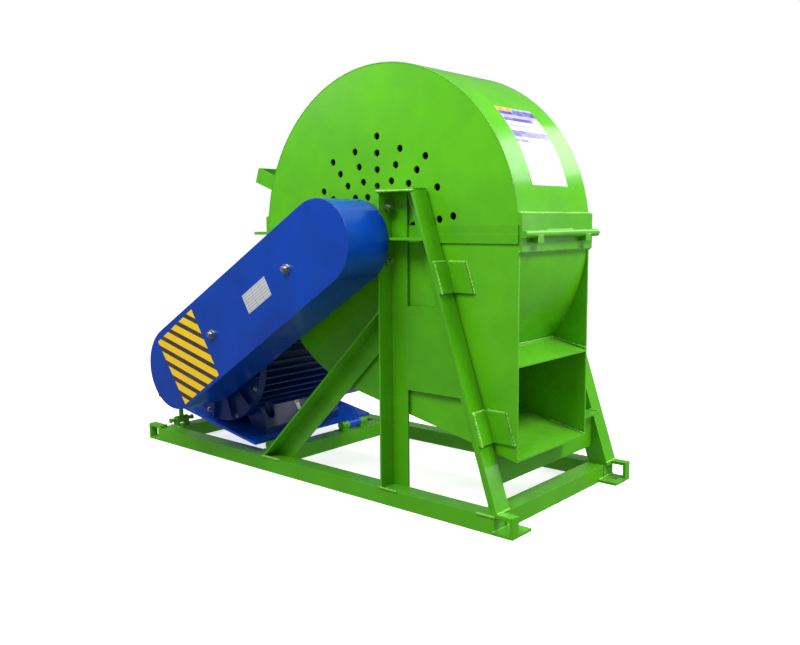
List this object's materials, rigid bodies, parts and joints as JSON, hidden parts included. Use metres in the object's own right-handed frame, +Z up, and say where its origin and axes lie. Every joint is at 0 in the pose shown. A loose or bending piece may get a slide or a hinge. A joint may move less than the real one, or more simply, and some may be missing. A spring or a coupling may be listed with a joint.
{
  "type": "hammer mill",
  "caption": "Hammer mill on a welded base: round split casing with hinged cover, hammer rotor, outlet duct, guarded belt drive and motor on a tilting tension plate.",
  "frame": {"origin": "centre of the four anchor holes, on the ground", "axes": "+X towards the outlet and the cover's hinge, +Y away from the belt drive, +Z up"},
  "size_m": [1.7, 0.8875, 1.3069],
  "materials": {
    "green_paint": "gloss",
    "blue_paint": "gloss",
    "steel": "machined",
    "zinc_plated": "zinc plated",
    "cast_iron": "painted casting",
    "nameplate_aluminium": "brushed",
    "rubber": "matte",
    "fan_plastic": "moulded"
  },
  "bodies": {
    "frame": {"side_rails": "green_paint", "cross_rails": "green_paint", "anchor_brackets": "green_paint", "near_upright": "green_paint", "far_upright": "green_paint", "near_outlet_brace": "green_paint", "far_outlet_brace": "green_paint", "near_motor_brace": "green_paint", "frame_plates": "green_paint", "casing_tabs": "green_paint", "outlet_cross_bar": "green_paint", "drive_side_wall": "green_paint", "far_side_wall": "green_paint", "casing_floor_sheet": "green_paint", "chamber_arc_plate": "green_paint", "outlet_divider": "green_paint", "lower_end_bands": "green_paint", "hinge_saddles": "green_paint", "screen": "steel", "screen_rails": "steel", "feed_chute": "green_paint", "bearing_housings": "cast_iron", "bearing_bolts": "zinc_plated", "belt_guard": "blue_paint", "guard_bracket": "green_paint", "guard_bolts": "zinc_plated", "nameplate": "nameplate_aluminium", "v_belts": "rubber", "motor_hinge": "green_paint", "tension_lugs": "green_paint"},
    "cover": {"cover_drive_wall": "green_paint", "cover_far_wall": "green_paint", "cover_wrapper": "green_paint", "cover_strips": "green_paint", "cover_end_bands": "green_paint", "cover_bolts": "green_paint", "cover_hinge_rod": "green_paint", "cover_handle": "green_paint"},
    "rotor": {"main_shaft": "steel", "bearing_inner_rings": "steel", "rotor_discs": "steel", "rotor_spacers": "steel", "hammer_pins": "steel", "driven_pulley": "cast_iron"},
    "hammers_1": {"hammer_row_1": "steel"},
    "hammers_2": {"hammer_row_2": "steel"},
    "hammers_3": {"hammer_row_3": "steel"},
    "hammers_4": {"hammer_row_4": "steel"},
    "motor": {"motor_plate": "blue_paint", "motor_frame": "blue_paint", "motor_stator": "steel", "motor_end_shields": "blue_paint", "fan_cowl": "blue_paint", "terminal_box": "blue_paint", "motor_bolts": "zinc_plated"},
    "motor_rotor": {"motor_shaft": "steel", "motor_fan": "fan_plastic", "drive_pulley": "cast_iron"},
    "tension_bolt": {"tension_bolt": "green_paint"},
    "tension_nuts": {"tension_nuts": "green_paint"}
  },
  "joints": [
    {"name": "cover_hinge", "type": "hinge", "parent": "frame", "child": "cover", "pos_m": [0.8365, -0.086, 0.807], "axis": [0, 1, 0], "range_deg": [0, 100]},
    {"name": "rotor_spin", "type": "hinge", "parent": "frame", "child": "rotor", "pos_m": [0.316, -0.086, 0.807], "axis": [0, 1, 0], "continuous": true},
    {"name": "hammer_swing_1", "type": "hinge", "parent": "rotor", "child": "hammers_1", "pos_m": [0.45742, -0.086, 0.94842], "axis": [0, 1, 0], "range_deg": [-280, 14]},
    {"name": "hammer_swing_2", "type": "hinge", "parent": "rotor", "child": "hammers_2", "pos_m": [0.17458, -0.086, 0.94842], "axis": [0, 1, 0], "range_deg": [-14, 280]},
    {"name": "hammer_swing_3", "type": "hinge", "parent": "rotor", "child": "hammers_3", "pos_m": [0.17458, -0.086, 0.66558], "axis": [0, 1, 0], "range_deg": [-104, 108]},
    {"name": "hammer_swing_4", "type": "hinge", "parent": "rotor", "child": "hammers_4", "pos_m": [0.45742, -0.086, 0.66558], "axis": [0, 1, 0], "range_deg": [-108, 104]},
    {"name": "plate_tilt", "type": "hinge", "parent": "frame", "child": "motor", "pos_m": [-0.194, -0.05, 0.07], "axis": [0, 1, 0], "range_deg": [-2.5, 2.5], "deforming": ["v_belts"]},
    {"name": "motor_spin", "type": "hinge", "parent": "motor", "child": "motor_rotor", "pos_m": [-0.41428, -0.1, 0.35067], "axis": [0, 1, 0], "continuous": true},
    {"name": "tension_swing", "type": "hinge", "parent": "frame", "child": "tension_bolt", "pos_m": [-0.762, -0.258, 0.074], "axis": [0, 1, 0], "range_deg": [-2.8, 2.8]},
    {"name": "tension_nut_slide", "type": "slide", "parent": "tension_bolt", "child": "tension_nuts", "axis": [0, 0, 1], "range_m": [-0.0255, 0.0255]}
  ],
  "couplings": [
    {"joint": "motor_spin", "follows": "rotor_spin", "ratio": 0.75893},
    {"joint": "tension_swing", "follows": "plate_tilt", "ratio": 1.08},
    {"joint": "tension_nut_slide", "follows": "plate_tilt", "m_per_rad": 0.566}
  ]
}
